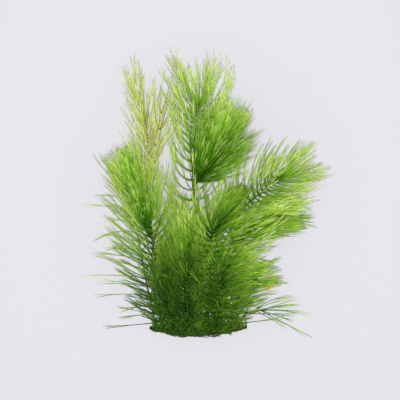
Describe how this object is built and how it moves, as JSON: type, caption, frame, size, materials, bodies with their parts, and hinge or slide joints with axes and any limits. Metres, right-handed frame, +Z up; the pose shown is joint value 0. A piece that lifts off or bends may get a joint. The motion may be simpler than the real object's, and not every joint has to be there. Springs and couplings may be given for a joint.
{
  "type": "hornwort plant",
  "caption": "Hornwort, a rootless freshwater plant: soft branching shoots with rings of fine forked leaves, joined by a short creeping stem and lying as picked.",
  "frame": {"origin": "centre of the bounding box's underside, on the surface that the plant lies on", "axes": "+Y from the creeping stem at the foot to the tips of the tallest shoots, +X to the right seen from above with the tips away, +Z up"},
  "size_m": [0.1277, 0.1426, 0.0555],
  "materials": {
    "green_leaf": "satin",
    "pale_leaf": "satin",
    "deep_green_leaf": "satin",
    "stem": "satin"
  },
  "bodies": {
    "root": {"centre_shoot": "green_leaf", "creeping_stem": "stem", "dense_shoot": "deep_green_leaf", "inner_left_shoot": "green_leaf", "inner_middle_shoot": "green_leaf", "inner_right_shoot": "green_leaf", "left_shoot": "green_leaf", "left_side_shoot": "deep_green_leaf", "low_left_shoot": "green_leaf", "low_right_shoot": "green_leaf", "middle_shoot": "green_leaf", "pale_shoot": "pale_leaf", "pale_side_shoot": "pale_leaf", "right_low_shoot": "green_leaf", "right_shoot": "green_leaf", "tall_shoot": "green_leaf", "trailing_shoot": "green_leaf"}
  },
  "joints": []
}
